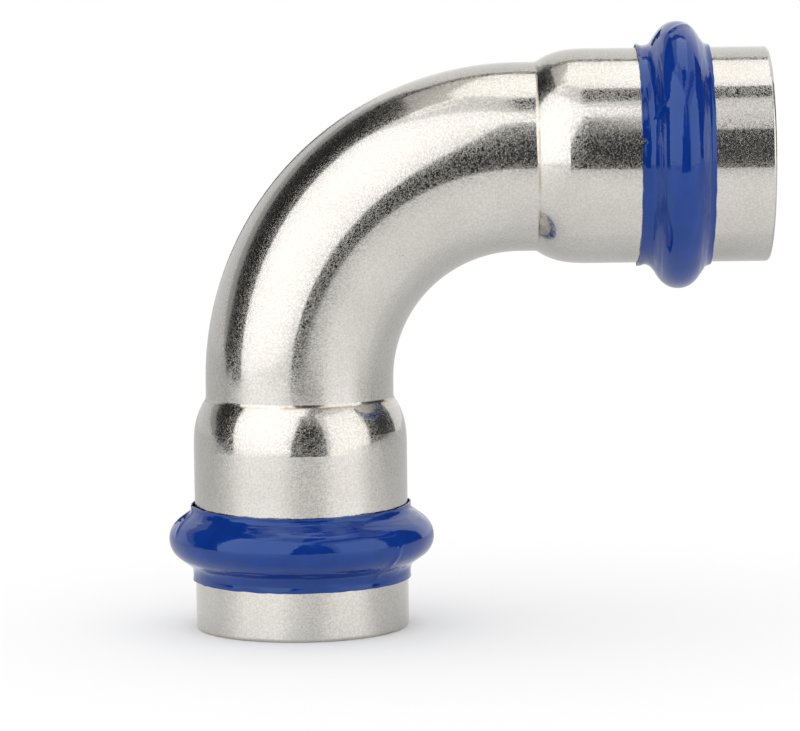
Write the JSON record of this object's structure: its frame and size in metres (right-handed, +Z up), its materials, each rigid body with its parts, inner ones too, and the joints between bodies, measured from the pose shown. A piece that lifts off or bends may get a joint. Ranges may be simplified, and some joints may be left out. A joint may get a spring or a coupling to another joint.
{
  "type": "press elbow",
  "caption": "Equal 90 degree stainless steel press elbow with a rubber ring in each socket's bead and a blue film sleeve over the bead.",
  "frame": {"origin": "middle of the lower socket's mouth", "axes": "+Z up the lower socket into the elbow, +X out of the outlet socket"},
  "size_m": [0.0704, 0.031, 0.0705],
  "materials": {
    "steel": "bright formed stainless steel with a fine grain and straw tint at the creases",
    "seal_rubber": "matte black",
    "indicator_film": "glossy shrunk film, deep blue"
  },
  "bodies": {
    "root": {"elbow_body": "steel", "lower_seal_ring": "seal_rubber", "outlet_seal_ring": "seal_rubber", "lower_indicator_sleeve": "indicator_film", "outlet_indicator_sleeve": "indicator_film"}
  },
  "joints": []
}
